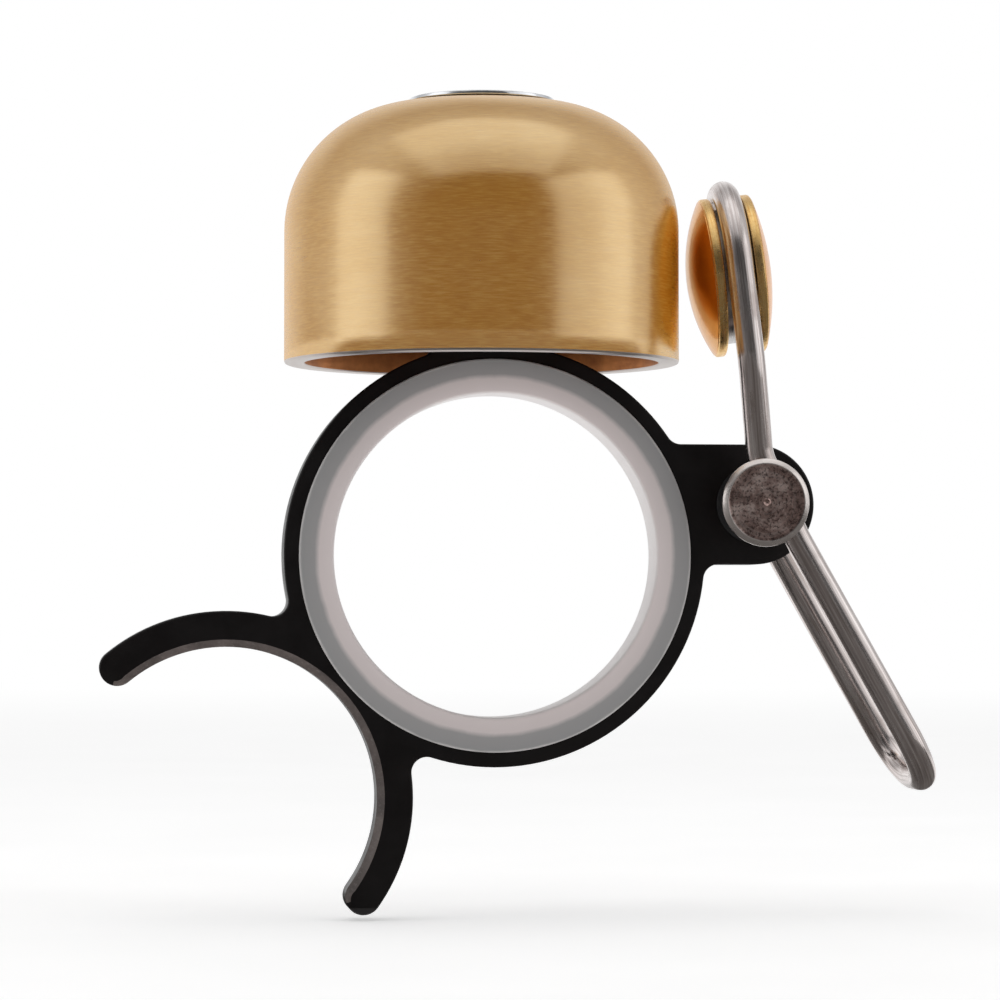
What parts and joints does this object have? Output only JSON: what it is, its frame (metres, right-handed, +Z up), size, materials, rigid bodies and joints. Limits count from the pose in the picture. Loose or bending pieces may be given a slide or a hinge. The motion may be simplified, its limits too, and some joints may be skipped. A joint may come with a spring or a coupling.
{
  "type": "bicycle bell",
  "caption": "Small brass bicycle bell on a flat ring bracket for a 22.2 mm bar, with a sprung wire striker, thumb loop and open claw.",
  "frame": {"origin": "centre of the bar bore, halfway through the bracket's thickness", "axes": "+Z up to the bell; the bar runs along Y; +X towards the striker; the joined side of the striker's wire is at -Y"},
  "size_m": [0.0576, 0.0272, 0.0563],
  "materials": {
    "black_paint": "satin black coat",
    "clear_liner": "milky, half-clear, satin",
    "plain_steel": "plain",
    "brown_fibre": "matt dark brown",
    "bell_brass": "fine lines turned round the bell, satin",
    "polished_steel": "polished",
    "black_nylon": "matt",
    "turned_steel": "turned face, darkened",
    "wire_steel": "bright drawn wire",
    "button_brass": "polished domes, machined edges"
  },
  "bodies": {
    "bell": {"bracket": "black_paint", "bar_liner": "clear_liner", "spacer_tube": "plain_steel", "spacer_lock_washer": "plain_steel", "bell_seat_washer": "brown_fibre", "bell_dome": "bell_brass", "cap_washer": "brown_fibre", "cap_screw": "polished_steel", "pivot_washer": "black_nylon", "return_spring": "plain_steel"},
    "striker": {"pivot_pin": "turned_steel", "rear_drum": "turned_steel", "striker_wire": "wire_steel", "strike_button": "button_brass", "outer_button": "button_brass", "hammer_rivet": "plain_steel"}
  },
  "joints": [
    {"name": "striker_pivot", "type": "hinge", "parent": "bell", "child": "striker", "pos_m": [0.018, 0, 0.00355], "axis": [0, 1, 0], "range_deg": [-2.2, 25], "stiffness_Nm_per_rad": 0.009, "deforming": ["return_spring"]}
  ]
}
